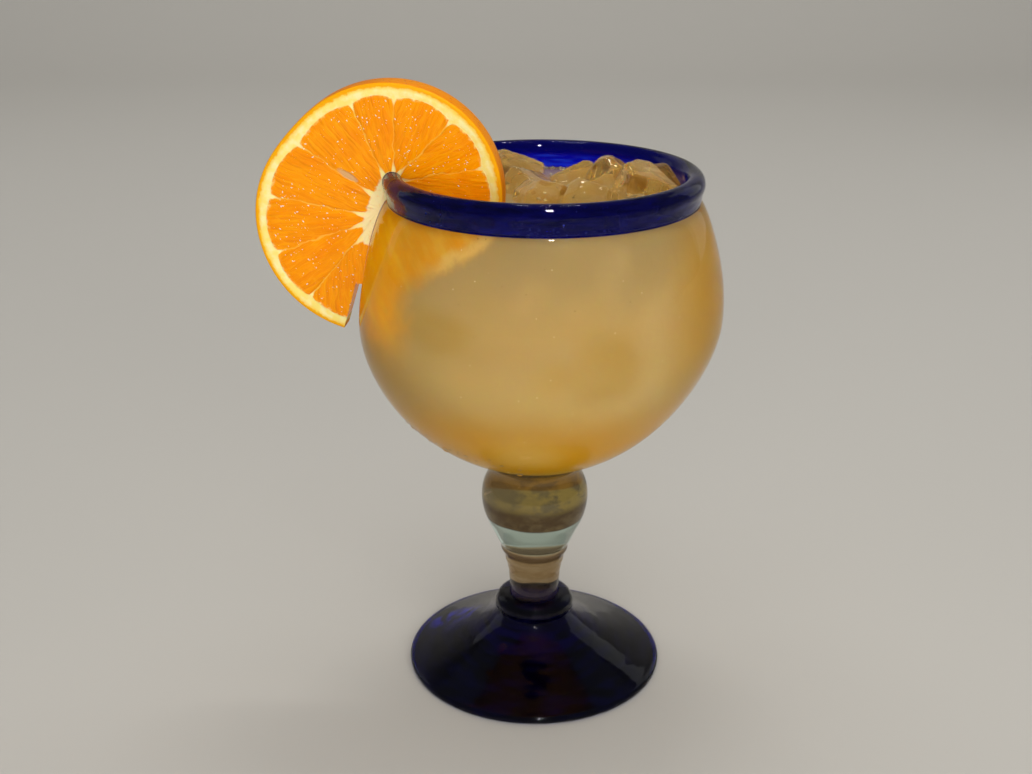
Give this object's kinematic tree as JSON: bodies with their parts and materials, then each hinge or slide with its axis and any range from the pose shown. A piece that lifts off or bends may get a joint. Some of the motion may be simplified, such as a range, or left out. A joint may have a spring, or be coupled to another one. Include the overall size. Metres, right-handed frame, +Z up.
{
  "type": "margarita cocktail",
  "caption": "Margarita on ice in a stemmed goblet with a round clear bowl, cobalt lip and foot, and an orange wheel slit onto the lip as garnish.",
  "frame": {"origin": "middle of the foot's underside, where the goblet stands", "axes": "+Z up the stem; -Y the front that the picture shows, so the orange wheel is at -X"},
  "size_m": [0.1432, 0.112, 0.1944],
  "materials": {
    "clear_glass": "clear, fire-polished",
    "foot_glass": "deep cobalt, fire-polished",
    "lip_glass": "deep cobalt, fire-polished",
    "drink": "cloudy pale citrus liquid",
    "ice": "wet, clear to milky",
    "orange_wheel": "wet flesh, satin peel"
  },
  "bodies": {
    "root": {"drink": "drink", "goblet_bowl": "clear_glass", "goblet_foot": "foot_glass", "goblet_lip": "lip_glass", "goblet_stem": "clear_glass", "ice_back_left": "ice", "ice_back_middle": "ice", "ice_back_right": "ice", "ice_far_right": "ice", "ice_front_middle": "ice", "ice_left_back": "ice", "ice_left_front": "ice", "ice_middle": "ice", "ice_middle_left": "ice", "ice_right": "ice", "ice_right_front": "ice", "orange_wheel": "orange_wheel"}
  },
  "joints": []
}
